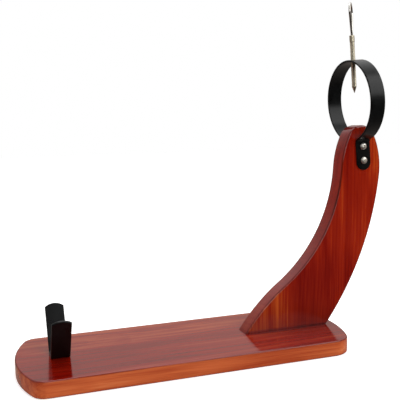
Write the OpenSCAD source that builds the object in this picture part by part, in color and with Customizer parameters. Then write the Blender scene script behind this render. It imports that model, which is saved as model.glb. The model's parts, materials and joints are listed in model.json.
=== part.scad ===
// Ham stand: a long board, a curved upright arm, a ring with a screw-down
// spike for the shank, and a V-shaped claw for the thick end of the ham.
// Frame: X runs along the board from the claw to the arm, Z is up, and the
// origin is the middle of the board's underside.

/* [Board] */
// Length of the board, from the middle of one end to the other
board_l = 400; // [360:5:480]
// Width of the board
board_w = 150; // [130:5:180]
// Thickness of the board
board_t = 19; // [16:1:24]
// How far the claw end bows out past its corners
claw_end_bow = 18.5; // [12:0.5:25]
// Corner radius at the claw end
claw_end_r = 17; // [10:1:25]
// How far the arm end bows out past its corners
arm_end_bow = 18; // [12:0.5:25]
// Corner radius at the arm end
arm_end_r = 27; // [15:1:35]

/* [Arm] */
// Thickness of the arm
arm_t = 24; // [20:1:28]
// Where the toe of the arm meets the board
toe_x = 74.5; // [60:0.5:80]
// Slope of the toe above the board
toe_angle = 55; // [50:1:60]

/* [Ring] */
// Inside diameter of the ring
ring_d = 99; // [94:1:104]
// Width of the ring strap
strap_w = 20; // [16:1:24]
// Thickness of the ring strap
strap_t = 2.5; // [2:0.5:3]
// Lean of the ring towards the claw
ring_lean = 3.5; // [0:0.5:4]
// Height of the ring's centre above the middle of its two screws
ring_rise = 66.5; // [62:0.5:72]
// Distance between the two screws of a tab
tab_pitch = 18; // [16:1:20]
// Inside radius of the bend between the ring and a tab
bend_r = 4; // [3:0.5:5]

/* [Spike] */
// Diameter of the threaded spike
spike_d = 6; // [5:0.5:6]
// Length of the spike from its tip to the ferrule
spike_l = 64; // [60:1:70]
// Length of the tapered point
point_l = 8; // [6:1:10]
// Diameter of the ferrule on top of the spike
ferrule_d = 6.4; // [6.2:0.1:8]
// Length of the ferrule
ferrule_l = 8; // [8:0.5:10]
// Diameter of the handle's wire
wire_d = 2.5; // [2:0.1:2.8]
// Radius of the handle's round top, to the middle of the wire
loop_r = 11; // [9:0.5:14]
// Height of the handle above the ferrule
loop_h = 41; // [36:1:50]
// Direction that the handle's loop faces at rest
loop_turn = 51; // [0:1:180]

/* [Claw] */
// Distance from the middle of the board to the claw, along the board
claw_x = 150.5; // [120:0.5:160]
// Width of the claw strap
claw_w = 22; // [20:1:24]
// Thickness of the claw strap
claw_t = 3; // [2.5:0.5:3]
// Length of the claw's flat base between its bends
claw_base = 16; // [16:1:20]
// Lean of each prong away from upright
claw_lean = 31; // [15:1:35]
// Length of each prong from its bend to its rounded end
prong_l = 56; // [40:1:60]
// How far the rounded end of a prong bows out
prong_bow = 4; // [2:0.5:6]

/* [Fasteners] */
// Head diameter of the ring's screws
ring_screw_head = 9; // [8:0.5:9]
// Head diameter of the claw's screws
claw_screw_head = 6.6; // [6:0.2:7]
// Head diameter of the countersunk arm screws
arm_screw_head = 9.6; // [9:0.2:10]
// Length of the arm screws
arm_screw_l = 50; // [45:5:50]
// Diameter of the dowels
dowel_d = 8; // [6:1:8]
// Length of the dowels
dowel_l = 28; // [25:1:30]

/* [Hidden] */
$fn = 96;

wood = "#9c3a1e";
powder_black = "#1b1b1c";
nickel = "#c9c6bd";
zinc = "#b9bcc0";
beech = "#d9b98a";

snug = 0.02;        // radial gap round a fixed shank or dowel
running = 0.05;     // radial gap round the turning spike
far = 500;          // longer than anything here

// Arm outline, from the toe up the inner edge, over the top and down to the
// heel: [radius, turn], where a turn to the left (+) is hollow and one to the
// right (-) bulges out.
arm_arcs = [[245, -18.5], [198, 49.5], [114, -21.5], [20, -129], [98, -32.5],
            [384, -33]];

// Places along the foot of the arm
dowel_toe_x = 96;
screw_toe_x = 117;
screw_heel_x = 156;
dowel_heel_x = 176;
dowel_in_board = 11;
arm_shank_r = 2.4;
arm_hole_r = 2.6;
sink_depth = 0.5;   // how deep the countersunk heads lie in the underside

// Middle of the ring's screws: everything on the strap is placed from here
ring_foot = [239, 0, 237.5];
ring_r = ring_d / 2;
strap_r = ring_r + strap_t;
tab_face = arm_t / 2 + strap_t;
bend_y = tab_face + bend_r;
bend_z = ring_rise - sqrt(pow(strap_r + bend_r, 2) - bend_y * bend_y);
tab_end_z = -tab_pitch / 2 - 2.4;
ring_top = ring_rise + strap_r;
ring_shank_r = 1.9;
ring_screw_l = 11.5;
ring_hole_r = 2.1;

// Heights on the spike, above the middle of the ring's screws
spike_r = spike_d / 2;
tip_z = ring_top - 41.5;
rod_top = tip_z + spike_l;
leg_x = wire_d / 2 + 0.05;
leg_in = 4;
spigot_r = leg_x + wire_d / 2;
spigot_l = 3;
ferrule_top = rod_top + ferrule_l;
loop_z = ferrule_top + loop_h - loop_r - wire_d / 2;
neck_z = ferrule_top + 0.5;
elbow_r = 3;
elbow_steps = 3;
top_steps = 20;
neck_to_loop = norm([leg_x + elbow_r, loop_z - neck_z]);
strand_l = sqrt(pow(neck_to_loop, 2) - pow(loop_r + elbow_r, 2));
strand_lean = asin((loop_r + elbow_r) / neck_to_loop)
    - asin((leg_x + elbow_r) / neck_to_loop);

claw_in_r = 2;
claw_out_r = claw_in_r + claw_t;
bend_steps = 12;
claw_screw_gap = 11;
claw_shank_r = 1.6;
claw_hole_r = 1.9;
claw_screw_l = 14;

function unit(a) = [cos(a), sin(a)];
function turned(v) = [-v.y, v.x];
function backwards(points) = [for (i = [len(points) - 1:-1:0]) points[i]];

// ---- Board -------------------------------------------------------------

// A bowed end with two rounded corners, pointing along +X from x = 0
module bowed_end(reach, bow, r) {
    big = (pow(board_w / 2, 2) + bow * bow) / (2 * bow);
    mid = reach - big;
    corner_y = board_w / 2 - r;
    corner_x = mid + sqrt(pow(big - r, 2) - corner_y * corner_y);
    out = [corner_x - mid, corner_y] * 2;
    intersection() {
        translate([mid, 0]) circle(big);
        polygon([[mid, 0], [mid + out.x, out.y], [mid + out.x, -out.y]]);
    }
    for (side = [-1, 1]) translate([corner_x, side * corner_y]) circle(r);
    translate([0, -board_w / 2]) square([corner_x, board_w]);
}

module board_outline() {
    bowed_end(board_l / 2, arm_end_bow, arm_end_r);
    mirror([1, 0]) bowed_end(board_l / 2, claw_end_bow, claw_end_r);
}

module countersunk(head_r, shank_r, length) {
    cylinder(r1 = head_r, r2 = shank_r, h = head_r - shank_r);
    cylinder(r = shank_r, h = length);
}

module base_board() color(wood) difference() {
    linear_extrude(board_t) board_outline();
    for (x = [dowel_toe_x, dowel_heel_x])
        translate([x, 0, board_t - dowel_in_board - 1])
            cylinder(d = dowel_d + 2 * snug, h = far);
    for (x = [screw_toe_x, screw_heel_x]) translate([x, 0, 0]) {
        translate([0, 0, -1]) cylinder(r = arm_hole_r, h = far);
        translate([0, 0, -1]) cylinder(d = arm_screw_head, h = sink_depth + 1);
        translate([0, 0, sink_depth])
            cylinder(d1 = arm_screw_head, d2 = 2 * arm_shank_r,
                     h = arm_screw_head / 2 - arm_shank_r);
    }
    for (side = [-1, 1])
        translate([-claw_x + side * claw_screw_gap / 2, 0,
                   board_t + claw_t - claw_screw_l - 1])
            cylinder(r = claw_shank_r + snug, h = far);
}

// ---- Arm ---------------------------------------------------------------

// End point and heading after the first n arcs of the outline
function arc_start(n) = n == 0 ? [[toe_x, board_t], toe_angle] :
    let (from = arc_start(n - 1), c = arc_centre(n - 1),
         turn = arm_arcs[n - 1][1], r = arm_arcs[n - 1][0])
    [c + r * sign(turn) * -turned(unit(from[1] + turn)), from[1] + turn];

function arc_centre(n) =
    let (from = arc_start(n))
    from[0] + arm_arcs[n][0] * sign(arm_arcs[n][1]) * turned(unit(from[1]));

// The slice between arc n and its chord, and a little past the chord
module arc_slice(n) {
    a = arc_start(n)[0];
    b = arc_start(n + 1)[0];
    side = sign(arm_arcs[n][1]) * -turned(b - a) / norm(b - a);
    bow = side * arm_arcs[n][0];
    intersection() {
        translate(arc_centre(n)) circle(arm_arcs[n][0], $fn = 360);
        polygon([a - side, b - side, b + bow, a + bow]);
    }
}

module arm_outline() intersection() {
    difference() {
        union() {
            polygon([for (n = [len(arm_arcs):-1:0]) arc_start(n)[0]]);
            for (n = [0:len(arm_arcs) - 1]) if (arm_arcs[n][1] < 0) arc_slice(n);
        }
        for (n = [0:len(arm_arcs) - 1]) if (arm_arcs[n][1] > 0) arc_slice(n);
    }
    translate([0, board_t]) square(far);
}

module arm() color(wood) difference() {
    rotate([90, 0, 0]) translate([0, 0, -arm_t / 2])
        linear_extrude(arm_t) arm_outline();
    for (x = [dowel_toe_x, dowel_heel_x]) translate([x, 0, 0])
        cylinder(d = dowel_d + 2 * snug,
                 h = board_t - dowel_in_board + dowel_l + 1);
    for (x = [screw_toe_x, screw_heel_x]) translate([x, 0, 0])
        cylinder(r = arm_shank_r + snug, h = sink_depth + arm_screw_l + 1);
    on_ring_foot() for (face = [-1, 1], up = [-1, 1])
        at_ring_screw(face, up)
            cylinder(r = ring_shank_r + snug, h = ring_screw_l - strap_t + 1);
}

module arm_dowel(x) color(beech)
    translate([x, 0, board_t - dowel_in_board]) cylinder(d = dowel_d, h = dowel_l);

module arm_screw(x) color(zinc) translate([x, 0, sink_depth]) difference() {
    countersunk(arm_screw_head / 2, arm_shank_r, arm_screw_l);
    cross_recess(5, 2);
}

// ---- Screws ------------------------------------------------------------

// A cross-shaped recess, cut upwards from z = 0
module cross_recess(size, depth) for (a = [0, 90]) rotate(a)
    translate([-size / 2, -0.5, -1]) cube([size, 1, depth + 1]);

// A domed head above z = 0 with its shank below
module domed_screw(head_d, head_h, shank_r, length) difference() {
    union() {
        intersection() {
            dome_r = (pow(head_d / 2, 2) + pow(head_h - 0.8, 2)) / (2 * (head_h - 0.8));
            translate([0, 0, head_h - dome_r]) sphere(dome_r);
            cylinder(d = head_d, h = head_h + 1);
        }
        translate([0, 0, -length]) cylinder(r = shank_r, h = length + 0.5);
    }
    translate([0, 0, head_h]) mirror([0, 0, 1]) cross_recess(head_d * 0.6, 1.6);
}

// ---- Ring --------------------------------------------------------------

module on_ring_foot() translate(ring_foot) rotate([0, -ring_lean, 0]) children();

// A place on the arm's face, with +Z pointing into the wood
module at_ring_screw(face, up)
    translate([0, face * arm_t / 2, up * tab_pitch / 2])
        rotate([face * 90, 0, 0]) children();

// Side view of the strap: Y across, Z up the page
module strap_profile() {
    bend_out = [bend_y, bend_z - ring_rise] * 4;
    difference() {
        translate([0, ring_rise]) difference() {
            circle(strap_r, $fn = 180);
            circle(ring_r, $fn = 180);
        }
        translate([0, ring_rise])
            polygon([[0, 0], bend_out, [-bend_out.x, bend_out.y]]);
    }
    for (side = [0, 1]) mirror([side, 0]) {
        translate([arm_t / 2, tab_end_z - strap_w / 2])
            square([strap_t, bend_z - tab_end_z + strap_w / 2]);
        intersection() {
            translate([bend_y, bend_z]) difference() {
                circle(bend_r + strap_t);
                circle(bend_r);
            }
            polygon([[bend_y, bend_z], [0, bend_z], [0, ring_rise]]);
        }
    }
}

module ring_strap() color(powder_black) on_ring_foot() difference() {
    intersection() {
        rotate([90, 0, 90]) translate([0, 0, -strap_w / 2])
            linear_extrude(strap_w) strap_profile();
        union() {
            translate([-strap_w, -far / 2, tab_end_z]) cube([2 * strap_w, far, far]);
            translate([0, 0, tab_end_z]) rotate([90, 0, 0])
                cylinder(d = strap_w, h = far, center = true);
        }
    }
    for (up = [-1, 1]) translate([0, 0, up * tab_pitch / 2]) rotate([90, 0, 0])
        cylinder(r = ring_hole_r, h = far, center = true);
    translate([0, 0, ring_rise]) cylinder(r = spike_r + running, h = far);
}

module ring_screw(face, up) color(nickel) on_ring_foot() at_ring_screw(face, up)
    translate([0, 0, -strap_t]) mirror([0, 0, 1])
        domed_screw(ring_screw_head, 3, ring_shank_r, ring_screw_l);

// ---- Spike -------------------------------------------------------------

module spike_rod() color(nickel) on_ring_foot() {
    translate([0, 0, tip_z]) cylinder(r1 = 0.3, r2 = spike_r, h = point_l);
    translate([0, 0, tip_z + point_l])
        cylinder(r = spike_r, h = spike_l - point_l);
    translate([0, 0, rod_top]) cylinder(r = spigot_r, h = spigot_l);
}

// A plain sleeve: the rod's spigot and the two legs of the wire turn inside it
module spike_ferrule() color(nickel) on_ring_foot() difference() {
    translate([0, 0, rod_top]) cylinder(d = ferrule_d, h = ferrule_l);
    translate([0, 0, rod_top - 1]) cylinder(r = spigot_r + running, h = far);
}

// Places along the wire, each [[x, z], heading]: up one leg, out round the
// elbow, over the round top, and the same again down the other leg
wire_leg = [[[leg_x, ferrule_top - leg_in], 90]];
wire_elbow = [for (i = [0:elbow_steps]) let (a = strand_lean * i / elbow_steps)
    [[leg_x + elbow_r * (1 - cos(a)), neck_z + elbow_r * sin(a)], 90 - a]];
wire_top = [for (i = [0:top_steps])
    let (a = -strand_lean + (180 + 2 * strand_lean) * i / top_steps)
    [[loop_r * cos(a), loop_z + loop_r * sin(a)], 90 + a]];
wire_up = concat(wire_leg, wire_elbow);
wire_down = [for (w = backwards(wire_up)) [[-w[0].x, w[0].y], -w[1]]];
wire_path = concat(wire_up, wire_top, wire_down);

// A round bar along a path in the XZ plane
module bar_along(path, d, sides) {
    last = len(path) - 1;
    rings = [for (place = path, k = [0:sides - 1])
        let (across = d / 2 * cos(360 * k / sides), n = turned(unit(place[1])))
        [place[0].x + across * n.x, d / 2 * sin(360 * k / sides),
         place[0].y + across * n.y]];
    skin = [for (i = [0:last - 1], k = [0:sides - 1])
        let (a = i * sides + k, b = i * sides + (k + 1) % sides)
        [a, b, b + sides, a + sides]];
    start = [for (k = [sides - 1:-1:0]) k];
    finish = [for (k = [0:sides - 1]) last * sides + k];
    polyhedron(rings, concat([start, finish], skin));
}

module spike_handle() color(nickel) on_ring_foot() rotate(loop_turn)
    bar_along(wire_path, wire_d, 16);

// ---- Claw --------------------------------------------------------------

// One side of the bend and the prong, from the base to the prong's end
function claw_side(r) =
    let (mid = [claw_base / 2, claw_out_r])
    concat([for (i = [0:bend_steps]) mid + r * unit(-90 + (90 - claw_lean) * i / bend_steps)],
           [mid + r * unit(-claw_lean) + prong_l * unit(90 - claw_lean)]);

function mirrored(points) = [for (p = backwards(points)) [-p.x, p.y]];

// Side view of the claw: Y across, Z up the page
module claw_profile() {
    half = concat(claw_side(claw_out_r), backwards(claw_side(claw_in_r)));
    polygon(concat(half, mirrored(half)));
}

// What is cut from a straight prong to leave its bowed end
module prong_end_waste() {
    end_r = (pow(claw_w / 2, 2) + prong_bow * prong_bow) / (2 * prong_bow);
    difference() {
        translate([-claw_w, 0, prong_l - prong_bow - 2])
            cube([2 * claw_w, 2 * claw_out_r, prong_bow + 4]);
        translate([0, 0, prong_l - end_r]) rotate([-90, 0, 0])
            cylinder(r = end_r, h = far, center = true, $fn = 180);
    }
}

module claw() color(powder_black) translate([-claw_x, 0, board_t]) difference() {
    rotate([90, 0, 90]) translate([0, 0, -claw_w / 2])
        linear_extrude(claw_w) claw_profile();
    for (side = [0, 1]) mirror([0, side, 0])
        translate([0, claw_base / 2, claw_out_r]) rotate([-claw_lean, 0, 0])
            prong_end_waste();
    for (side = [-1, 1]) translate([side * claw_screw_gap / 2, 0, -1])
        cylinder(r = claw_hole_r, h = claw_t + 2);
}

module claw_screw(side) color(zinc)
    translate([-claw_x + side * claw_screw_gap / 2, 0, board_t + claw_t])
        domed_screw(claw_screw_head, 2.2, claw_shank_r, claw_screw_l);

base_board();
arm();
arm_dowel(dowel_toe_x);  // arm_dowel_toe
arm_dowel(dowel_heel_x);  // arm_dowel_heel
arm_screw(screw_toe_x);  // arm_screw_toe
arm_screw(screw_heel_x);  // arm_screw_heel
ring_strap();
ring_screw(-1, 1);  // ring_screw_front_upper
ring_screw(-1, -1);  // ring_screw_front_lower
ring_screw(1, 1);  // ring_screw_back_upper
ring_screw(1, -1);  // ring_screw_back_lower
spike_rod();
spike_ferrule();
spike_handle();
claw();
claw_screw(-1);  // claw_screw_left
claw_screw(1);  // claw_screw_right
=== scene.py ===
"""A ham stand: varnished board and arm, powder-coated ring and claw, and a screw-down spike."""

import json
import math

import bmesh
import bpy
from mathutils import Matrix, Vector


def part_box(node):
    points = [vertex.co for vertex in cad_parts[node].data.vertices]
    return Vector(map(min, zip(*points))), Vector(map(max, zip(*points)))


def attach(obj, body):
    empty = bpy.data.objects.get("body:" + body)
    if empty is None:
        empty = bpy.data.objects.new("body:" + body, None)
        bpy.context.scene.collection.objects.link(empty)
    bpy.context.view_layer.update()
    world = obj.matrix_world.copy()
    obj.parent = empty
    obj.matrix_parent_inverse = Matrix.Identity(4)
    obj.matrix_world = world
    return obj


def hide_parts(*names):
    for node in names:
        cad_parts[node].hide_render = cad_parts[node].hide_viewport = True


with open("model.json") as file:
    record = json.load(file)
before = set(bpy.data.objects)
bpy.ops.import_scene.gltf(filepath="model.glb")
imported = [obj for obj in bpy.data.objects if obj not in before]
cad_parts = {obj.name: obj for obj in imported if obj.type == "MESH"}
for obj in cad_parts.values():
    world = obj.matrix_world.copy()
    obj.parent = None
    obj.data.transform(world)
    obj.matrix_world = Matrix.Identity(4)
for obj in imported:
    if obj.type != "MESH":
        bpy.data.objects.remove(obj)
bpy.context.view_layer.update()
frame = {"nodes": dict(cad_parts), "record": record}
MM = 0.001
QUARTER = math.pi / 2

# ---- Sizes in millimetres and degrees, the part's own ---------------------------------------

BOARD_ENDS = {"arm": (18.0, 27.0), "claw": (18.5, 17.0)}  # bow of the end, radius of its corners

# The arm's outline from its toe round to its heel: (radius, turn), a left turn is hollow
ARM_TOE_ANGLE = 55.0
ARM_ARCS = [(245, -18.5), (198, 49.5), (114, -21.5), (20, -129), (98, -32.5), (384, -33)]
ARM_HOLE_R = 2.6

STRAP_W = 20.0
STRAP_T = 2.5
RING_D = 99.0  # inside
RING_RISE = 66.5  # from the middle of the ring's screws up to its centre
BEND_R = 4.0  # inside the bend between the ring and a tab
TAB_DOWN = 11.4  # from the middle of the ring's screws down to the centre of a tab's round end
TAB_PITCH = 18.0  # between the two screws of a tab

CLAW_T = 3.0
CLAW_BEND_R = 2.0  # inside
CLAW_BASE = 16.0  # flat part between the two bends
CLAW_LEAN = 31.0  # of each prong, away from upright
CLAW_PRONG = 56.0  # from the bend to the end
CLAW_BOW = 4.0  # how far a prong's end bows out
CLAW_SCREW_GAP = 11.0

SPIKE_R = 3.0
POINT_L = 8.0
FERRULE_R = 3.2
WIRE_D = 2.5
LEG_X = WIRE_D / 2 + 0.05  # from the spike's axis to the middle of a leg of the wire
LOOP_R = 11.0  # to the middle of the wire, as is the elbow's
ELBOW_R = 3.0
LOOP_TURN = 51.0

# ---- Sizes in millimetres that only the looks have ------------------------------------------

# How far the edges of each piece are rounded
BOARD_EDGE = 1.8
ARM_EDGE = 2.6
STRAP_EDGE = 0.8
CLAW_EDGE = 0.9

# The thread's pitch is what the spike's joint feeds at each turn
THREAD_PITCH = 1.0
THREAD_DEPTH = 0.3
HOLE_FLARE_R = 4.2

# Edges that turn by more than this, in degrees, are shaded sharp
SHARP = 35

# ---- Places, from the frame ----------------------------------------------------------------


def size_of(node):
    """Lowest corner, highest corner and centre of a CAD node, in millimetres."""
    low, high = (Vector(corner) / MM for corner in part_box(node))
    return low, high, (low + high) / 2


board_low, board_high = size_of("base_board")[:2]
arm_low, arm_high = size_of("arm")[:2]
claw_low, claw_high, claw_mid = size_of("claw")
ARM_T = arm_high.y - arm_low.y
screw_turn = next(j for j in frame["record"]["behaviour"]["joints"] if j["name"] == "spike_turn")
RING_FOOT = Vector(screw_turn["pos_m"]) / MM  # the middle of the ring's screws
RING_LEAN = math.atan2(-screw_turn["axis"][0], screw_turn["axis"][2])
ON_RING = Matrix.Translation(RING_FOOT) @ Matrix.Rotation(-RING_LEAN, 4, "Y")


def up_the_ring(node):
    """Lowest and highest place of a CAD node along the spike's own axis, in millimetres."""
    heights = [(ON_RING.inverted() @ (v.co / MM)).z for v in frame["nodes"][node].data.vertices]
    return min(heights), max(heights)


TIP_Z, SPIGOT_TOP = up_the_ring("spike_rod")
ROD_TOP, FERRULE_TOP = up_the_ring("spike_ferrule")
LEG_FOOT, LOOP_TOP = up_the_ring("spike_handle")

# ---- Camera --------------------------------------------------------------------------------

# Place in millimetres; the turn to the right of +Y, the turn down and the roll in degrees; the
# lens and the width of its frame in millimetres
CAMERA_AT = (-224.1, -736.0, 275.8)
CAMERA_YAW, CAMERA_PITCH, CAMERA_ROLL = (math.radians(a) for a in (18.54, 6.44, -1.19))
CAMERA_LENS = 58.64
CAMERA_FRAME = 36


def make_camera():
    """The main camera, turned by its three angles."""
    yaw, pitch, roll = CAMERA_YAW, CAMERA_PITCH, CAMERA_ROLL
    level_reach = math.cos(pitch)
    ahead = Vector((math.sin(yaw) * level_reach, math.cos(yaw) * level_reach, -math.sin(pitch)))
    level = Vector((math.cos(yaw), -math.sin(yaw), 0))
    over = level.cross(ahead)
    right = level * math.cos(roll) + over * math.sin(roll)
    up = over * math.cos(roll) - level * math.sin(roll)
    data = bpy.data.cameras.new("camera")
    data.lens = CAMERA_LENS
    data.sensor_width = CAMERA_FRAME
    camera = bpy.data.objects.new("camera", data)
    turn = Matrix((right, up, -ahead)).transposed().to_4x4()
    camera.matrix_world = Matrix.Translation(Vector(CAMERA_AT) * MM) @ turn
    bpy.context.scene.collection.objects.link(camera)
    bpy.context.scene.camera = camera


make_camera()

# ---- Making meshes -------------------------------------------------------------------------


def walk(start, heading, moves, spacing):
    """Places (x, z, heading in degrees) along lines, (length, 0), and arcs, (radius, turn)."""
    arc_step = 6  # about the most that an arc turns from one place to the next, in degrees
    x, z = start
    places = [(x, z, heading)]
    for size, turn in moves:
        length = size * math.radians(abs(turn)) if turn else size
        steps = max(1, round(length / spacing), round(abs(turn) / arc_step))
        step = 2 * size * math.sin(math.radians(abs(turn)) / steps / 2) if turn else length / steps
        for i in range(steps):
            ahead = math.radians(heading + turn * (i + 0.5) / steps)
            x += step * math.cos(ahead)
            z += step * math.sin(ahead)
            places.append((x, z, heading + turn * (i + 1) / steps))
        heading += turn
    return places


def inset(outline, by):
    """A closed anticlockwise outline moved inwards, with its corners kept sharp."""
    least_cosine = 0.35  # stops a needle-sharp corner from running far inwards
    moved = []
    for i, here in enumerate(outline):
        back = (here - outline[i - 1]).normalized()
        ahead = (outline[(i + 1) % len(outline)] - here).normalized()
        middle = (back + ahead).normalized()
        inward = Vector((-middle.y, middle.x))
        moved.append(here + inward * by / max(least_cosine, middle.dot(back)))
    return moved


def edge_levels(low, high, edge, steps=5):
    """(inset, height) up the side of a slab with rounded edges, with a narrow flat strip round
    each broad face so that the rounding shades cleanly."""
    strip = 0.3
    turns = [QUARTER * i / steps for i in range(steps + 1)]
    lower = [(edge * (1 - math.sin(a)), low + edge * (1 - math.cos(a))) for a in turns]
    upper = [(edge * (1 - math.cos(a)), high - edge * (1 - math.sin(a))) for a in turns]
    return [(edge + strip, low)] + lower + upper + [(edge + strip, high)]


def vertex_ring(mesh, radius, height, sides):
    """New vertices in a level ring round Z, or a single one where the radius is zero."""
    angles = [2 * math.pi * i / sides for i in range(sides if radius else 1)]
    return [mesh.verts.new((radius * math.cos(a), radius * math.sin(a), height)) for a in angles]


def join_rings(mesh, rings):
    """Quads from each ring of vertices to the next, and triangles to a single vertex."""
    for lower, upper in zip(rings, rings[1:]):
        for i in range(max(len(lower), len(upper))):
            round_face = ((lower, i - 1), (lower, i), (upper, i), (upper, i - 1))
            corners = [ring[k % len(ring)] for ring, k in round_face]
            mesh.faces.new(list(dict.fromkeys(corners)))


def stack(outline, levels):
    """A mesh of the outline's rings, one a level and joined by quads, and the rings' vertices."""
    mesh = bmesh.new()
    rings = []
    for by, height in levels:
        rings.append([mesh.verts.new((p.x, p.y, height)) for p in inset(outline, by)])
    join_rings(mesh, rings)
    return mesh, rings


def rounded_slab(outline, low, high, edge):
    """A slab from low to high with rounded edges."""
    mesh, rings = stack(outline, edge_levels(low, high, edge))
    mesh.faces.new(rings[0][::-1])
    mesh.faces.new(rings[-1])
    return mesh


def strap_half(length, width, bow, spacing):
    """(distance along, half width) from one bowed end of a flat strap to the other."""
    end_steps = 10
    end_r = (width**2 / 4 + bow**2) / (2 * bow)
    widest = math.asin(min(1, width / 2 / end_r))
    bowed = [widest * i / end_steps for i in range(end_steps + 1)]
    start = [(end_r * (1 - math.cos(a)), end_r * math.sin(a)) for a in bowed]
    count = round((length - 2 * bow) / spacing)
    middle = [(bow + (length - 2 * bow) * i / count, width / 2) for i in range(1, count)]
    return start + middle + [(length - along, across) for along, across in start[::-1]]


def bent_strap(places, width, thickness, bow, edge, spacing=1.2):
    """A flat strap with bowed ends and rounded edges, bent along places in its own YZ plane."""
    run = [0.0]
    for a, b in zip(places, places[1:]):
        run.append(run[-1] + math.dist(a[:2], b[:2]))
    half = strap_half(run[-1], width, bow, spacing)
    outline = [Vector((along, -across)) for along, across in half] + [Vector(p) for p in half[-2:0:-1]]
    mesh, rings = stack(outline, edge_levels(-thickness / 2, thickness / 2, edge, 4))
    last = len(half) - 1
    for ring in (rings[0], rings[-1]):
        other = [ring[-i] for i in range(last + 1)]
        for i in range(last):
            corners = [ring[i], ring[i + 1], other[i + 1], other[i]]
            mesh.faces.new(list(dict.fromkeys(corners)))
    for v in mesh.verts:
        along = min(max(v.co.x, 0), run[-1])
        i = next(k for k in range(1, len(run)) if run[k] >= along or k == len(run) - 1)
        share = (along - run[i - 1]) / (run[i] - run[i - 1])
        y, z, heading = (a + (b - a) * share for a, b in zip(places[i - 1], places[i]))
        heading = math.radians(heading)
        v.co = (v.co.y, y - v.co.z * math.sin(heading), z + v.co.z * math.cos(heading))
    return mesh


def lathe(profile, sides=48):
    """A solid of revolution about Z from (radius, height) pairs that start and end on the axis."""
    mesh = bmesh.new()
    join_rings(mesh, [vertex_ring(mesh, radius, height, sides) for radius, height in profile])
    return mesh


def finished(name, mesh, place=Matrix(), sharp=SHARP):
    """An object at the origin from a mesh in millimetres, put in its place and shaded smooth up
    to edges that turn by more than sharp degrees."""
    mesh.transform(Matrix.Scale(MM, 4) @ place)
    bmesh.ops.recalc_face_normals(mesh, faces=mesh.faces)
    data = bpy.data.meshes.new(name)
    mesh.to_mesh(data)
    mesh.free()
    data.shade_smooth()
    data.set_sharp_from_angle(angle=math.radians(sharp))
    piece = bpy.data.objects.new(name, data)
    bpy.context.scene.collection.objects.link(piece)
    return piece


def baked(piece):
    """Turns the result of a piece's modifiers into its plain mesh."""
    shown = piece.evaluated_get(bpy.context.evaluated_depsgraph_get())
    data = bpy.data.meshes.new_from_object(shown)
    piece.modifiers.clear()
    piece.data = data
    return piece


def cut(piece, *cutters):
    """Cuts the cutters out of the piece and removes them."""
    for cutter in cutters:
        boolean = piece.modifiers.new("cut", "BOOLEAN")
        boolean.object = cutter
        boolean.solver = "EXACT"
    baked(piece)
    for cutter in cutters:
        bpy.data.objects.remove(cutter)
    piece.data.set_sharp_from_angle(angle=math.radians(SHARP))
    return piece


# ---- Materials -----------------------------------------------------------------------------


def colour(hex_code):
    """An sRGB hex colour as linear red, green and blue, with an alpha of one."""
    channels = [int(hex_code[i : i + 2], 16) / 255 for i in (1, 3, 5)]
    linear = [c / 12.92 if c <= 0.04045 else ((c + 0.055) / 1.055) ** 2.4 for c in channels]
    return (*linear, 1.0)


def grey(level):
    """A linear grey, for ramps that shape a pattern."""
    return (level, level, level, 1.0)


def even_stops(*shades):
    """Evenly spaced stops of a colour ramp, from sRGB hex colours."""
    return [(i / (len(shades) - 1), colour(shade)) for i, shade in enumerate(shades)]


def add(tree, kind, links=None, values=None, stops=None, **settings):
    """Adds a node with its settings, its sockets' values and links, and its ramp's stops."""
    node = tree.nodes.new(kind)
    for name, value in settings.items():
        setattr(node, name, value)
    for name, value in (values or {}).items():
        node.inputs[name].default_value = value
    for name, source in (links or {}).items():
        tree.links.new(source, node.inputs[name])
    for i, (place, shade) in enumerate(stops or []):
        points = node.color_ramp.elements
        stop = points[i] if i < len(points) else points.new(place)
        stop.position = place
        stop.color = shade
    return node


def new_material(name):
    """An empty material, its node tree and the place on the object, in metres."""
    material = bpy.data.materials.new(name)
    material.use_nodes = True
    tree = material.node_tree
    tree.nodes.clear()
    place = add(tree, "ShaderNodeTexCoord").outputs["Object"]
    return material, tree, place


def finish_material(material, tree, shader):
    """Joins the shader to the material's output."""
    add(tree, "ShaderNodeOutputMaterial", {"Surface": shader.outputs["BSDF"]})
    return material


# Growth rings 5 mm apart, fibres under half a millimetre wide drawn at about 1 mm so that they
# show, streaks of darker heartwood a finger wide, and a stain that lies unevenly over a hand's
# width. Boards bend their own grain sideways over a span of about 150 mm.
RING_MM = 5.0
FIBRE_MM = 1.1
STREAK_MM = 11.0
BLOTCH_MM = 85.0
WARP_MM = 150.0
SWAY_MM = 34.0


def drawn_out_noise(tree, place_mm, along_mm, across_mm, detail, output="Fac"):
    """A cloudy pattern with features along_mm long on X and across_mm wide on Y and Z."""
    scale = (1 / along_mm, 1 / across_mm, 1 / across_mm)
    drawn = add(tree, "ShaderNodeMapping", {"Vector": place_mm}, {"Scale": scale}).outputs[0]
    clouds = add(tree, "ShaderNodeTexNoise", {"Vector": drawn}, {"Scale": 1.0, "Detail": detail})
    return clouds.outputs[output]


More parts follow.
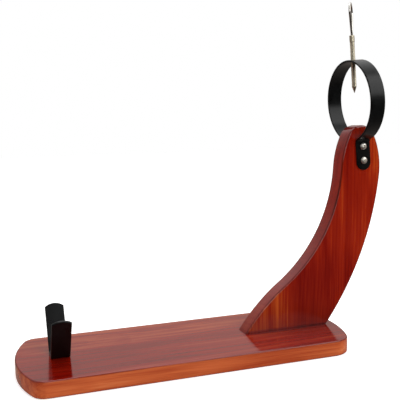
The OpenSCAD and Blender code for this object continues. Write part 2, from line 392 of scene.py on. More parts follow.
def growth_rings(tree, grown, pith, pith_lean):
    """Pale earlywood that darkens to a sharp latewood line, ring after ring round a pith that
    leans as it runs along the plank."""
    length = add(tree, "ShaderNodeSeparateXYZ", {0: grown}).outputs["X"]
    offset = add(tree, "ShaderNodeVectorMath", {"Scale": length}, {0: (0, *pith_lean)},
                 operation="SCALE").outputs[0]
    lined_up = add(tree, "ShaderNodeVectorMath", {0: grown, 1: offset}, operation="ADD").outputs[0]
    across = add(tree, "ShaderNodeVectorMath", {0: lined_up}, {1: (0, 1, 1)},
                 operation="MULTIPLY").outputs[0]
    from_pith = add(tree, "ShaderNodeVectorMath", {0: across}, {1: pith},
                    operation="DISTANCE").outputs["Value"]
    count = add(tree, "ShaderNodeMath", {0: from_pith}, {1: RING_MM}, operation="DIVIDE").outputs[0]
    year = add(tree, "ShaderNodeMath", {0: count}, operation="FRACT").outputs[0]
    stops = [(0.0, grey(0.85)), (0.55, grey(0.75)), (0.86, grey(0.2)), (0.93, grey(0.0)),
             (1.0, grey(0.85))]
    return add(tree, "ShaderNodeValToRGB", {0: year}, stops=stops).outputs["Color"]


def pine_grain(tree, along, pith, pith_lean, weights):
    """The grain's tone about 0.5, from the rings, fibres, streaks and stain patches by their
    weights, and the fibres and the patches by themselves."""
    drift = drawn_out_noise(tree, along, 3.3 * WARP_MM, WARP_MM, 2, "Color")
    bend = add(tree, "ShaderNodeVectorMath", {0: drift}, {1: (0.5, 0.5, 0.5)},
               operation="SUBTRACT").outputs[0]
    sway = add(tree, "ShaderNodeVectorMath", {0: bend}, {1: (0, SWAY_MM, SWAY_MM)},
               operation="MULTIPLY").outputs[0]
    grown = add(tree, "ShaderNodeVectorMath", {0: along, 1: sway}, operation="ADD").outputs[0]
    rings = growth_rings(tree, grown, pith, pith_lean)
    fibre = drawn_out_noise(tree, grown, 80 * FIBRE_MM, FIBRE_MM, 4)
    streak = drawn_out_noise(tree, grown, 24 * STREAK_MM, STREAK_MM, 3)
    patch = drawn_out_noise(tree, along, 1.6 * BLOTCH_MM, BLOTCH_MM, 2)
    tone = None
    for layer, weight in zip((rings, fibre, streak, patch), weights):
        centred = add(tree, "ShaderNodeMath", {0: layer}, {1: 0.5}, operation="SUBTRACT").outputs[0]
        links = {0: centred, 2: tone} if tone else {0: centred}
        values = {1: weight} if tone else {1: weight, 2: 0.5}
        tone = add(tree, "ShaderNodeMath", links, values, operation="MULTIPLY_ADD").outputs[0]
    return tone, fibre, patch


def lifted(tree, place, tone, lifts):
    """The tone made paler, or darker below zero, towards the end of each lift's span."""
    where = add(tree, "ShaderNodeSeparateXYZ", {0: place}).outputs
    for axis, start, end, lift in lifts:
        raised = add(tree, "ShaderNodeMapRange", {"Value": where[axis]},
                     {"From Min": start * MM, "From Max": end * MM, "To Max": lift}).outputs[0]
        tone = add(tree, "ShaderNodeMath", {0: tone, 1: raised}, operation="ADD").outputs[0]
    return tone


def stain_colour(tree, tone, patch, face, broad, narrow, arris_shade):
    """The stain by its tone: one set of shades on the broad faces, whose normal runs along face,
    another on the narrow ones, and a dark painted shade laid unevenly on the rounded arrises."""
    on_broad = add(tree, "ShaderNodeValToRGB", {0: tone}, stops=even_stops(*broad)).outputs["Color"]
    on_narrow = add(tree, "ShaderNodeValToRGB", {0: tone}, stops=even_stops(*narrow)).outputs["Color"]
    normal = add(tree, "ShaderNodeSeparateXYZ", {0: add(tree, "ShaderNodeTexCoord").outputs["Normal"]})
    facing = add(tree, "ShaderNodeMath", {0: normal.outputs[face]}, operation="ABSOLUTE").outputs[0]
    share = add(tree, "ShaderNodeMapRange", {"Value": facing},
                {"From Min": 0.35, "From Max": 0.75}).outputs[0]
    stained = add(tree, "ShaderNodeMix", {0: share, 6: on_narrow, 7: on_broad},
                  data_type="RGBA").outputs[2]
    # Painted shade: the rounded arrises are darkened in the colour itself
    arris_shade_mask = add(tree, "ShaderNodeValToRGB", {0: facing},
                 stops=[(0.05, grey(0)), (0.35, grey(1)), (0.85, grey(1)), (0.99, grey(0))])
    uneven = add(tree, "ShaderNodeMapRange", {"Value": patch},
                 {"From Min": 0.4, "From Max": 0.6, "To Min": 0.4, "To Max": 0.9}).outputs[0]
    arris_shade_share = add(tree, "ShaderNodeMath", {0: arris_shade_mask.outputs["Color"], 1: uneven},
                   operation="MULTIPLY").outputs[0]
    return add(tree, "ShaderNodeMix", {0: arris_shade_share, 6: stained}, {7: colour(arris_shade)},
               data_type="RGBA").outputs[2]


def stained_pine(name, turn, pith, pith_lean, weights, lifts, face, broad, narrow, arris_shade):
    """Pine under a red mahogany stain and a gloss varnish: fine lengthwise grain glows through a
    clear, wet-looking coat that has sunk slightly along the fibres. The rounded arrises carry a
    dark painted shade. The stain is paler or darker over each lift, (axis, from, to, lift) with
    its places in millimetres, and takes differently on the narrow faces."""
    material, tree, place = new_material(name)
    along = add(tree, "ShaderNodeMapping", {"Vector": place},
                {"Rotation": turn, "Scale": (1 / MM, 1 / MM, 1 / MM)}).outputs[0]
    grain, fibre, patch = pine_grain(tree, along, pith, pith_lean, weights)
    tone = lifted(tree, place, grain, lifts)
    stained = stain_colour(tree, tone, patch, face, broad, narrow, arris_shade)
    relief = add(tree, "ShaderNodeBump", {"Height": grain},
                 {"Strength": 0.25, "Distance": 0.0002}).outputs[0]
    ripple = drawn_out_noise(tree, along, along_mm=50, across_mm=8, detail=2)
    fibre_depth = 0.12  # of the fibres in the coat, beside its own slow ripple
    sunk = add(tree, "ShaderNodeMath", {0: fibre, 2: ripple}, {1: fibre_depth},
               operation="MULTIPLY_ADD").outputs[0]
    coat = add(tree, "ShaderNodeBump", {"Height": sunk},
               {"Strength": 0.35, "Distance": 0.0004}).outputs[0]
    rough = add(tree, "ShaderNodeMapRange", {"Value": patch},
                {"To Min": 0.40, "To Max": 0.52}).outputs[0]
    shader = add(tree, "ShaderNodeBsdfPrincipled",
                 {"Base Color": stained, "Normal": relief, "Coat Normal": coat, "Roughness": rough},
                 {"Specular IOR Level": 0.0, "Coat Weight": 1.0, "Coat Roughness": 0.12,
                  "Coat IOR": 1.5})
    return finish_material(material, tree, shader)


def powder_coat(name):
    """Polyester powder coat baked on steel: near black, satin, with a fine even orange peel
    that softens every highlight and patches left by hands."""
    peel_mm, hand_mm = 0.6, 14
    material, tree, place = new_material(name)
    fine = add(tree, "ShaderNodeMapping", {"Vector": place}, {"Scale": (1 / MM / peel_mm,) * 3}).outputs[0]
    peel = add(tree, "ShaderNodeTexNoise", {"Vector": fine}, {"Scale": 1.0, "Detail": 2.0}).outputs["Fac"]
    wide = add(tree, "ShaderNodeMapping", {"Vector": place}, {"Scale": (1 / MM / hand_mm,) * 3}).outputs[0]
    handled = add(tree, "ShaderNodeTexNoise", {"Vector": wide},
                  {"Scale": 1.0, "Detail": 3.0}).outputs["Fac"]
    black = add(tree, "ShaderNodeValToRGB", {0: handled},
                stops=[(0.3, colour("#050505")), (0.7, colour("#0b0c0c"))]).outputs["Color"]
    rough = add(tree, "ShaderNodeMapRange", {"Value": handled}, {"To Min": 0.24, "To Max": 0.34}).outputs[0]
    bump = add(tree, "ShaderNodeBump", {"Height": peel}, {"Strength": 0.22, "Distance": 0.0001}).outputs[0]
    shader = add(tree, "ShaderNodeBsdfPrincipled",
                 {"Base Color": black, "Roughness": rough, "Normal": bump},
                 {"IOR": 1.5, "Specular IOR Level": 0.24})
    return finish_material(material, tree, shader)


def plated_steel(name, pale, dark, smooth, rough, grit_mm, stretch=1.0):
    """Plated steel: a bare metal mirror broken by fine marks grit_mm wide, drawn out by stretch
    along the length where a rod was pulled through a die, and a tint that the bath left uneven."""
    bath_mm = 9
    grit = 1 / MM / grit_mm
    material, tree, place = new_material(name)
    fine = add(tree, "ShaderNodeMapping", {"Vector": place},
               {"Scale": (grit, grit, grit / stretch)}).outputs[0]
    marks = add(tree, "ShaderNodeTexNoise", {"Vector": fine}, {"Scale": 1.0, "Detail": 3.0}).outputs["Fac"]
    wide = add(tree, "ShaderNodeMapping", {"Vector": place}, {"Scale": (1 / MM / bath_mm,) * 3}).outputs[0]
    bath = add(tree, "ShaderNodeTexNoise", {"Vector": wide}, {"Scale": 1.0, "Detail": 2.0}).outputs["Fac"]
    tint = add(tree, "ShaderNodeValToRGB", {0: bath},
               stops=[(0.35, colour(dark)), (0.65, colour(pale))]).outputs["Color"]
    worn = add(tree, "ShaderNodeMapRange", {"Value": marks}, {"To Min": smooth, "To Max": rough}).outputs[0]
    bump = add(tree, "ShaderNodeBump", {"Height": marks},
               {"Strength": 0.12, "Distance": 0.00005}).outputs[0]
    shader = add(tree, "ShaderNodeBsdfPrincipled",
                 {"Base Color": tint, "Roughness": worn, "Normal": bump}, {"Metallic": 1.0})
    return finish_material(material, tree, shader)


def bare_beech(name):
    """Turned beech dowel: pale, close-grained and dry, with short darker flecks along it."""
    fleck_w, fleck_l = 0.5 * MM, 2 * MM
    material, tree, place = new_material(name)
    drawn = add(tree, "ShaderNodeMapping", {"Vector": place},
                {"Scale": (1 / fleck_w, 1 / fleck_w, 1 / fleck_l)}).outputs[0]
    flecks = add(tree, "ShaderNodeTexNoise", {"Vector": drawn},
                 {"Scale": 1.0, "Detail": 3.0}).outputs["Fac"]
    tone = add(tree, "ShaderNodeValToRGB", {0: flecks},
               stops=[(0.4, colour("#d8b487")), (0.7, colour("#b98d5e"))]).outputs["Color"]
    bump = add(tree, "ShaderNodeBump", {"Height": flecks},
               {"Strength": 0.3, "Distance": 0.0001}).outputs[0]
    shader = add(tree, "ShaderNodeBsdfPrincipled", {"Base Color": tone, "Normal": bump},
                 {"Roughness": 0.6})
    return finish_material(material, tree, shader)


# The board is paler towards its back. The arm is paler at its toe and a little at its back, with
# a painted contact shadow, a dark line, along its foot where it meets the board.
# The arris colours of both woods are painted shade on their rounded edges
board_wood = stained_pine(
    "red_stained_pine_board", turn=(0, 0, 0), pith=(0, 25, -120), pith_lean=(0, 0.03),
    weights=(0.08, 0.45, 1.1, 0.4), lifts=[("Y", -30, 75, 0.30)], face="Z",
    broad=("#4a0402", "#740902", "#891806", "#ac4e2a"),
    narrow=("#5c1e0e", "#963a1c", "#b75a30", "#cb8654"), arris_shade="#6a1406")
arm_wood = stained_pine(
    "red_stained_pine_arm", turn=(0, QUARTER, 0), pith=(0, 30, -420), pith_lean=(0.05, 0.03),
    weights=(0.12, 0.6, 0.75, 0.9),
    # The last lift, on Z down to the board, is a painted contact shadow along the arm's foot
    lifts=[("X", 150, 90, 0.40), ("X", 228, 262, 0.16), ("Z", 23, 19.5, -0.45)], face="Y",
    broad=("#3f0301", "#6c0a02", "#871c05", "#b44c16"),
    narrow=("#520a05", "#75120a", "#861c10", "#98301c"), arris_shade="#3c0703")
black_coat = powder_coat("black_powder_coat")
bright_nickel = plated_steel("bright_nickel_plate", "#e4e1da", "#cfccc4", smooth=0.04, rough=0.12,
                             grit_mm=0.5)
drawn_nickel = plated_steel("drawn_nickel_plate", "#ece3cb", "#d6ccb2", smooth=0.30, rough=0.46,
                            grit_mm=0.4, stretch=8)
barrel_nickel = plated_steel("barrel_nickel_plate", "#fcf8f0", "#f0ece2", smooth=0.36, rough=0.52,
                             grit_mm=0.7)
zinc = plated_steel("bright_zinc_plate", "#cdd2d6", "#b9bfc2", smooth=0.22, rough=0.38, grit_mm=0.8)
beech = bare_beech("bare_turned_beech")

# ---- Board and arm -------------------------------------------------------------------------


def board_outline():
    """The board seen from above, anticlockwise from the claw end's near corner."""
    half_w = board_high.y
    spacing = 3
    ends = {}
    for end, (bow, corner) in BOARD_ENDS.items():
        big = (half_w**2 + bow**2) / (2 * bow)
        open_angle = math.degrees(math.asin((half_w - corner) / (big - corner)))
        reach = board_high.x - big + (big - corner) * math.cos(math.radians(open_angle))
        ends[end] = (reach, [(corner, 90 - open_angle), (big, 2 * open_angle), (corner, 90 - open_angle)])
    (right, right_end), (left, left_end) = ends["arm"], ends["claw"]
    side = (right + left, 0)
    moves = [side] + right_end + [side] + left_end
    return [Vector(p[:2]) for p in walk((-left, -half_w), 0, moves, spacing)[:-1]]


def countersink(node):
    """The cutter for a screw's hole in the board's underside. It stops just under the board's
    top, where the arm's foot hides it."""
    low, high, mid = size_of(node)
    head_r = (high.x - low.x) / 2
    below, end = -1, board_high.z - 2
    throat = low.z + head_r - ARM_HOLE_R
    profile = [(0, below), (head_r, below), (head_r, low.z), (ARM_HOLE_R, throat), (ARM_HOLE_R, end),
               (0, end)]
    return finished("cutter", lathe(profile), Matrix.Translation((mid.x, 0, 0)))


def make_board():
    """The board, with its two screw holes."""
    slab = rounded_slab(board_outline(), board_low.z, board_high.z, BOARD_EDGE)
    board = cut(finished("board", slab), countersink("arm_screw_toe"), countersink("arm_screw_heel"))
    board.data.materials.append(board_wood)
    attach(board, "stand")
    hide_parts("base_board")


def make_arm():
    """The arm. Its outline starts a little below the board's top and is cut level there."""
    below, spacing = 6, 3
    toe = math.radians(ARM_TOE_ANGLE)
    start = (arm_low.x - below / math.tan(toe), board_high.z - below)
    moves = [(below / math.sin(toe), 0)] + ARM_ARCS
    outline = [Vector(p[:2]) for p in walk(start, ARM_TOE_ANGLE, moves, spacing)]
    outline = [p for p in outline if p.y > start[1] - 1][::-1]
    slab = rounded_slab(outline, -ARM_T / 2, ARM_T / 2, ARM_EDGE)
    slab.transform(Matrix.Rotation(QUARTER, 4, "X"))
    whole = slab.verts[:] + slab.edges[:] + slab.faces[:]
    bmesh.ops.bisect_plane(slab, geom=whole, plane_co=(0, 0, board_high.z), plane_no=(0, 0, -1),
                           clear_outer=True)
    bmesh.ops.holes_fill(slab, edges=[e for e in slab.edges if e.is_boundary])
    arm = finished("curved_arm", slab)
    arm.data.materials.append(arm_wood)
    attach(arm, "stand")
    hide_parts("arm")


make_board()
make_arm()

# ---- Ring and claw -------------------------------------------------------------------------


def make_ring():
    """The strap: up one tab, out round the bend, round the ring and down the other side. The
    spike's hole through its top is flared on each face."""
    radius = RING_D / 2 + STRAP_T / 2
    bend = BEND_R + STRAP_T / 2
    bend_y = ARM_T / 2 + STRAP_T + BEND_R
    bend_z = RING_RISE - math.sqrt((radius + bend) ** 2 - bend_y**2)
    swing = math.degrees(math.acos(bend_y / (radius + bend)))
    foot_z = -TAB_DOWN - STRAP_W / 2
    tab = (bend_z - foot_z, 0)
    moves = [tab, (bend, swing), (radius, -180 - 2 * swing), (bend, swing), tab]
    places = walk((-ARM_T / 2 - STRAP_T / 2, foot_z), 90, moves, spacing=1)
    mesh = bent_strap(places, STRAP_W, STRAP_T, STRAP_W / 2, STRAP_EDGE)
    inner = RING_RISE + RING_D / 2
    outer = inner + STRAP_T
    hole_r = SPIKE_R + 0.06
    start, end = inner - 5, inner + 9
    hole = [(0, start), (HOLE_FLARE_R, start), (HOLE_FLARE_R, inner - 0.2), (hole_r, inner + 0.8),
            (hole_r, outer - 0.5), (HOLE_FLARE_R, outer + 0.7), (HOLE_FLARE_R, end), (0, end)]
    ring = cut(finished("ring", mesh, ON_RING), finished("cutter", lathe(hole), ON_RING))
    ring.data.materials.append(black_coat)
    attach(ring, "stand")
    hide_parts("ring_strap")


def make_claw():
    """The V: down one prong, round its bend, along the base and up the other prong."""
    bend = CLAW_BEND_R + CLAW_T / 2
    swing = 90 - CLAW_LEAN
    moves = [(CLAW_PRONG, 0), (bend, swing), (CLAW_BASE, 0), (bend, swing), (CLAW_PRONG, 0)]
    places = walk((0, 0), -swing, moves, spacing=1)
    mid_y = (places[0][0] + places[-1][0]) / 2
    low_z = min(p[1] for p in places)
    places = [(y - mid_y, z - low_z + CLAW_T / 2, heading) for y, z, heading in places]
    mesh = bent_strap(places, claw_high.x - claw_low.x, CLAW_T, CLAW_BOW, CLAW_EDGE)
    claw = finished("claw_strap", mesh, Matrix.Translation((claw_mid.x, 0, board_high.z)))
    claw.data.materials.append(black_coat)
    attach(claw, "stand")
    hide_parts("claw")


make_ring()
make_claw()

# ---- Screws --------------------------------------------------------------------------------


def cross_cutter(span, deep, top):
    """Two blades that cross and narrow downwards: the cutters for a cross-head screw's recess."""
    wide, narrow, taper = 1.8, 1.0, 0.35
    blades = []
    for turn in (0, QUARTER):
        mesh = bmesh.new()
        bmesh.ops.create_cube(mesh, size=1)
        for v in mesh.verts:
            if v.co.z > 0:
                v.co = (v.co.x * span, v.co.y * wide, top + 1)
            else:
                v.co = (v.co.x * span * taper, v.co.y * narrow, top - deep)
        blades.append(finished("cutter", mesh, Matrix.Rotation(turn, 4, "Z")))
    return blades


def domed_screw(name, head_d, head_h, shank_r, length):
    """A domed cross-head screw with its head's underside at zero and its shank below."""
    head_r = head_d / 2
    rim, bevel, steps = 0.8, 0.25, 8
    dome_r = (head_d**2 / 4 + (head_h - rim) ** 2) / (2 * (head_h - rim))
    widest = math.asin(head_r / dome_r)
    slopes = [widest * k / steps for k in range(steps - 1, 0, -1)]
    dome = [(dome_r * math.sin(a), head_h - dome_r * (1 - math.cos(a))) for a in slopes]
    side = [(0, -length), (shank_r, -length), (shank_r, 0), (head_r - bevel, 0), (head_r, bevel),
            (head_r, rim - 0.2), (head_r - 0.12, rim + 0.1)]
    screw = finished(name, lathe(side + dome + [(0, head_h)]))
    return cut(screw, *cross_cutter(span=head_d * 0.72, deep=1.7, top=head_h))


def countersunk_screw(name, head_d, shank_r, length):
    """A countersunk cross-head screw, point down, with the face of its head at zero."""
    head_r = head_d / 2
    point = [(0, -length), (shank_r * 0.3, -length + 1), (shank_r, -length + 5)]
    head = [(shank_r, -head_r + shank_r), (head_r, -0.3), (head_r - 0.1, 0), (0, 0)]
    screw = finished(name, lathe(point + head))
    return cut(screw, *cross_cutter(span=head_d * 0.55, deep=2.0, top=0))


def screw_tree():
    """Geometry Nodes: one screw on each vertex, turned out along its "out" and round by "spin"."""
    tree = bpy.data.node_groups.new("place_screws", "GeometryNodeTree")
    tree.interface.new_socket("Places", in_out="INPUT", socket_type="NodeSocketGeometry")
    tree.interface.new_socket("Screw", in_out="INPUT", socket_type="NodeSocketObject")
    tree.interface.new_socket("Finish", in_out="INPUT", socket_type="NodeSocketMaterial")
    tree.interface.new_socket("Screws", in_out="OUTPUT", socket_type="NodeSocketGeometry")
    given = add(tree, "NodeGroupInput").outputs
    out = add(tree, "GeometryNodeInputNamedAttribute", values={"Name": "out"}, data_type="FLOAT_VECTOR")
    spin = add(tree, "GeometryNodeInputNamedAttribute", values={"Name": "spin"}, data_type="FLOAT")
    spun = add(tree, "ShaderNodeCombineXYZ", {"Z": spin.outputs["Attribute"]}).outputs[0]
    round_axis = add(tree, "FunctionNodeEulerToRotation", {0: spun}).outputs[0]
    facing = add(tree, "FunctionNodeAlignRotationToVector", {"Vector": out.outputs["Attribute"]},
                 axis="Z").outputs[0]
    turned = add(tree, "FunctionNodeRotateRotation", {"Rotation": facing, "Rotate By": round_axis},
                 rotation_space="LOCAL").outputs[0]
    screw = add(tree, "GeometryNodeObjectInfo", {"Object": given["Screw"]})
    points = add(tree, "GeometryNodeMeshToPoints", {"Mesh": given["Places"]}).outputs[0]
    placed = add(tree, "GeometryNodeInstanceOnPoints",
                 {"Points": points, "Instance": screw.outputs["Geometry"], "Rotation": turned}).outputs[0]
    real = add(tree, "GeometryNodeRealizeInstances", {"Geometry": placed}).outputs[0]
    coated = add(tree, "GeometryNodeSetMaterial",
                 {"Geometry": real, "Material": given["Finish"]}).outputs[0]
    add(tree, "NodeGroupOutput", {"Screws": coated})
    return tree


SCREW_TREE = screw_tree()


def run_tree(piece, tree, **inputs):
    """Puts a Geometry Nodes tree on a piece, gives it its inputs and keeps its plain result."""
    modifier = piece.modifiers.new(tree.name, "NODES")
    modifier.node_group = tree
    for item in tree.interface.items_tree:
        if item.in_out == "INPUT" and item.name in inputs:
            modifier[item.identifier] = inputs[item.name]
    return baked(piece)


def make_screws(name, screw, places, finish, slot, *nodes):
    """Screws at places, each (place in millimetres, direction out, spin in radians)."""
    data = bpy.data.meshes.new(name)
    data.from_pydata([tuple(Vector(at) * MM) for at, out, spin in places], [], [])
    outs = data.attributes.new("out", "FLOAT_VECTOR", "POINT")
    outs.data.foreach_set("vector", [n for at, out, spin in places for n in out])
    spins = data.attributes.new("spin", "FLOAT", "POINT")
    spins.data.foreach_set("value", [spin for at, out, spin in places])
    piece = bpy.data.objects.new(name, data)
    bpy.context.scene.collection.objects.link(piece)
    run_tree(piece, SCREW_TREE, Screw=screw, Finish=finish)
    bpy.data.objects.remove(screw)
    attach(piece, "stand")
    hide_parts(*nodes)


def ring_screw_place(face, up, spin):
    """Place, direction and spin of a ring screw: on the near face or the far one, high or low."""
    at = ON_RING @ Vector((0, face * (ARM_T / 2 + STRAP_T), up * TAB_PITCH / 2))
    return at, (0, face, 0), spin


make_screws("ring_screws",
            domed_screw("one_ring_screw", head_d=9, head_h=3, shank_r=1.85, length=8.5),
            [ring_screw_place(-1, 1, 0.5), ring_screw_place(-1, -1, 1.1),
             ring_screw_place(1, 1, 0.2), ring_screw_place(1, -1, 0.9)],
            barrel_nickel, "nickel_plated_steel",
            "ring_screw_front_upper", "ring_screw_front_lower", "ring_screw_back_upper",
            "ring_screw_back_lower")
make_screws("claw_screws",
            domed_screw("one_claw_screw", head_d=6.6, head_h=2.2, shank_r=1.6, length=11),
            [((claw_mid.x + side * CLAW_SCREW_GAP / 2, 0, board_high.z + CLAW_T), (0, 0, 1),
              0.4 + side * 0.3) for side in (-1, 1)],
            zinc, "zinc_plated_steel", "claw_screw_left", "claw_screw_right")
make_screws("arm_screws",
            countersunk_screw("one_arm_screw", head_d=9.6, shank_r=2.4, length=50),
            [((size_of(node)[2].x, 0, size_of(node)[0].z), (0, 0, -1), 0.3)
             for node in ("arm_screw_toe", "arm_screw_heel")],
            zinc, "zinc_plated_steel", "arm_screw_toe", "arm_screw_heel")

# ---- Spike ---------------------------------------------------------------------------------


def make_rod():
    """The threaded rod: a right-hand helix that dies out into a ground point. Its plain spigot
    goes up into the ferrule."""
    sides, rows_per_turn = 36, 8
    blunt = 0.08  # radius of the point's very end, as a share of the rod's
    thread_start = 0.95  # as a share of the point's length
    fade = 5  # how fast the thread deepens after that
    run_out = 1.5  # length over which it dies out under the ferrule
    rows = round((ROD_TOP - TIP_Z) / THREAD_PITCH * rows_per_turn)
    mesh = bmesh.new()
    rings = []
    for j in range(rows + 1):
        z = TIP_Z + (ROD_TOP - TIP_Z) * j / rows
        to_point = (z - TIP_Z) / POINT_L
        body = SPIKE_R * min(1, blunt + (1 - blunt) * to_point)
        bite = min(1, max(0, to_point - thread_start) * fade) * min(1, max(0, ROD_TOP - z) / run_out)
        ring = []
        for k in range(sides):
            phase = ((z - TIP_Z) / THREAD_PITCH - k / sides) % 1
            radius = body - THREAD_DEPTH * (1 - abs(2 * phase - 1)) * bite
            angle = 2 * math.pi * k / sides
            ring.append(mesh.verts.new((radius * math.cos(angle), radius * math.sin(angle), z)))
        rings.append(ring)
    rings += [vertex_ring(mesh, LEG_X + WIRE_D / 2, z, sides) for z in (ROD_TOP, SPIGOT_TOP)]
    join_rings(mesh, rings)
    mesh.faces.new(rings[0][::-1])
    mesh.faces.new(rings[-1])
    rod = finished("threaded_spike", mesh, ON_RING, sharp=50)
    rod.data.materials.append(drawn_nickel)
    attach(rod, "spike")
    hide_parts("spike_rod")


def make_ferrule():
    """The sleeve, with chamfered ends and open at both."""
    bore, bevel, sides = LEG_X + WIRE_D / 2 + 0.05, 0.3, 64
    skin = [(bore, ROD_TOP), (FERRULE_R - bevel, ROD_TOP), (FERRULE_R, ROD_TOP + bevel),
            (FERRULE_R, FERRULE_TOP - bevel), (FERRULE_R - bevel, FERRULE_TOP), (bore, FERRULE_TOP)]
    mesh = bmesh.new()
    rings = [vertex_ring(mesh, radius, z, sides) for radius, z in skin]
    join_rings(mesh, rings + rings[:1])
    ferrule = finished("ferrule", mesh, ON_RING)
    ferrule.data.materials.append(drawn_nickel)
    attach(ferrule, "sleeve")
    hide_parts("spike_ferrule")


def wire_tree():
    """Geometry Nodes: a round wire along the piece's own line of edges."""
    tree = bpy.data.node_groups.new("draw_wire", "GeometryNodeTree")
    tree.interface.new_socket("Line", in_out="INPUT", socket_type="NodeSocketGeometry")
    tree.interface.new_socket("Radius", in_out="INPUT", socket_type="NodeSocketFloat")
    tree.interface.new_socket("Sides", in_out="INPUT", socket_type="NodeSocketInt")
    tree.interface.new_socket("Finish", in_out="INPUT", socket_type="NodeSocketMaterial")
    tree.interface.new_socket("Wire", in_out="OUTPUT", socket_type="NodeSocketGeometry")
    given = add(tree, "NodeGroupInput").outputs
    line = add(tree, "GeometryNodeMeshToCurve", {"Mesh": given["Line"]}).outputs[0]
    ring = add(tree, "GeometryNodeCurvePrimitiveCircle",
               {"Radius": given["Radius"], "Resolution": given["Sides"]}).outputs[0]
    wire = add(tree, "GeometryNodeCurveToMesh", {"Curve": line, "Profile Curve": ring},
               {"Fill Caps": True}).outputs[0]
    real = add(tree, "GeometryNodeRealizeInstances", {"Geometry": wire}).outputs[0]
    coated = add(tree, "GeometryNodeSetMaterial",
                 {"Geometry": real, "Material": given["Finish"]}).outputs[0]
    add(tree, "NodeGroupOutput", {"Wire": coated})
    return tree


def make_handle():
    """The wire: up one leg, out round the elbow, over the loop and down the other leg."""
    neck = FERRULE_TOP + 0.5
    loop_z = LOOP_TOP - WIRE_D / 2 - LOOP_R
    to_loop = math.hypot(LEG_X + ELBOW_R, loop_z - neck)
    strand = math.sqrt(to_loop**2 - (LOOP_R + ELBOW_R) ** 2)
    flare = math.asin((LOOP_R + ELBOW_R) / to_loop) - math.asin((LEG_X + ELBOW_R) / to_loop)
    lean = math.degrees(flare)
    leg = (neck - LEG_FOOT, 0)
    half = [leg, (ELBOW_R, -lean), (strand, 0)]
    moves = half + [(LOOP_R, 180 + 2 * lean)] + half[::-1]
    places = walk((LEG_X, LEG_FOOT), 90, moves, spacing=0.8)
    turn = ON_RING @ Matrix.Rotation(math.radians(LOOP_TURN), 4, "Z")
    points = [tuple((turn @ Vector((x, 0, z))) * MM) for x, z, _ in places]
    data = bpy.data.meshes.new("wire_handle")
    data.from_pydata(points, [(i, i + 1) for i in range(len(points) - 1)], [])
    handle = bpy.data.objects.new("wire_handle", data)
    bpy.context.scene.collection.objects.link(handle)
    run_tree(handle, wire_tree(), Radius=WIRE_D / 2 * MM, Sides=24, Finish=bright_nickel)
    handle.data.shade_smooth()
    handle.data.set_sharp_from_angle(angle=math.radians(50))
    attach(handle, "spike")
    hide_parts("spike_handle")


make_rod()
make_ferrule()
make_handle()

for dowel in ("arm_dowel_toe", "arm_dowel_heel"):
    frame["nodes"][dowel].data.materials.clear()
    frame["nodes"][dowel].data.materials.append(beech)

# ---- Studio --------------------------------------------------------------------------------

WALL, CEILING = 0.33, 1.1  # brightness of the studio round the stand and above it
WALL_COLOUR = "#ffefe4"
FLOOR_REACH = 6000  # half the floor's side, in millimetres
FLOOR_GLOW = 0.55


def make_floor():
    """A plain pale floor, matt, with a very faint mottle. It glows a little, so that it runs into
    the white behind it."""
    mesh = bmesh.new()
    bmesh.ops.create_grid(mesh, x_segments=1, y_segments=1, size=FLOOR_REACH)
    floor = finished("floor", mesh)
    material, tree, place = new_material("pale_floor")
    mottle = add(tree, "ShaderNodeTexNoise", {"Vector": place}, {"Scale": 3.0}).outputs["Fac"]
    pale = add(tree, "ShaderNodeValToRGB", {0: mottle},
               stops=[(0.0, colour("#f3f3f2")), (1.0, colour("#f8f8f7"))]).outputs["Color"]
    shader = add(tree, "ShaderNodeBsdfPrincipled", {"Base Color": pale},
                 {"Roughness": 0.9, "Specular IOR Level": 0.0, "Emission Color": (1, 1, 1, 1),
                  "Emission Strength": FLOOR_GLOW})
    floor.data.materials.append(finish_material(material, tree, shader))
    floor.visible_glossy = False


def make_light(name, at, aim, size, power):
    """A soft rectangular lamp, its place, aim and size in metres and its power in watts."""
    data = bpy.data.lights.new(name, "AREA")
    data.shape = "RECTANGLE"
    data.size, data.size_y = size
    data.energy = power
    lamp = bpy.data.objects.new(name, data)
    way = Vector(aim) - Vector(at)
    lamp.matrix_world = Matrix.Translation(at) @ way.to_track_quat("-Z", "Y").to_matrix().to_4x4()
    bpy.context.scene.collection.objects.link(lamp)


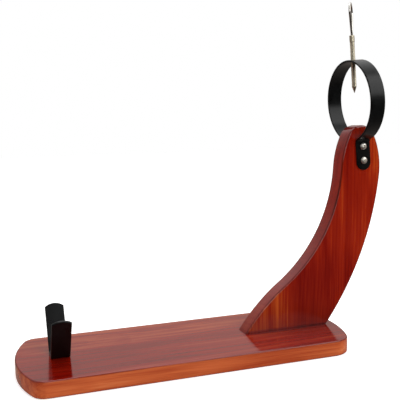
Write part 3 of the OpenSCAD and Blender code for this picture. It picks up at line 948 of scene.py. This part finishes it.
def make_world():
    """White all round for the eye. For light and reflections, a white ceiling over warm grey walls,
    with the wall in front of the stand nearly dark and the one on its left dimmed."""
    world = bpy.data.worlds.new("studio")
    bpy.context.scene.world = world
    world.use_nodes = True
    tree = world.node_tree
    tree.nodes.clear()
    outwards = add(tree, "ShaderNodeTexCoord").outputs["Generated"]
    way = add(tree, "ShaderNodeSeparateXYZ", {0: outwards}).outputs
    ceiling = add(tree, "ShaderNodeMapRange", {"Value": way["Z"]},
                  {"From Min": 0.15, "From Max": 0.65, "To Min": WALL, "To Max": CEILING}).outputs[0]
    front = add(tree, "ShaderNodeMapRange", {"Value": way["Y"]},
                {"From Min": -0.6, "From Max": 0.1, "To Min": 0.04, "To Max": 1.0}).outputs[0]
    left = add(tree, "ShaderNodeMapRange", {"Value": way["X"]},
               {"From Min": -0.5, "From Max": 0.0, "To Min": 0.62, "To Max": 1.0}).outputs[0]
    sides = add(tree, "ShaderNodeMath", {0: left, 1: front}, operation="MULTIPLY").outputs[0]
    level = add(tree, "ShaderNodeMath", {0: ceiling, 1: sides}, operation="MULTIPLY").outputs[0]
    shade = add(tree, "ShaderNodeValToRGB", {0: way["Z"]},
                stops=[(0.2, colour(WALL_COLOUR)), (0.5, colour("#ffffff"))]).outputs["Color"]
    lit = add(tree, "ShaderNodeBackground", {"Strength": level, "Color": shade}).outputs[0]
    seen = add(tree, "ShaderNodeBackground", values={"Color": (1, 1, 1, 1), "Strength": 1.0}).outputs[0]
    eye = add(tree, "ShaderNodeLightPath").outputs["Is Camera Ray"]
    both = add(tree, "ShaderNodeMixShader", {0: eye, 1: lit, 2: seen}).outputs[0]
    add(tree, "ShaderNodeOutputWorld", {"Surface": both})


make_floor()
make_light("key", at=(1.4, -1.5, 1.6), aim=(0.05, 0, 0.12), size=(1.9, 1.9), power=30)
make_light("fill", at=(-0.4, -1.8, 0.9), aim=(0.1, 0, 0.15), size=(1.0, 1.0), power=8)
make_light("top", at=(0.1, 0.5, 2.0), aim=(0, 0, 0), size=(1.6, 1.2), power=12)
make_world()
bpy.context.scene.view_settings.view_transform = "Standard"
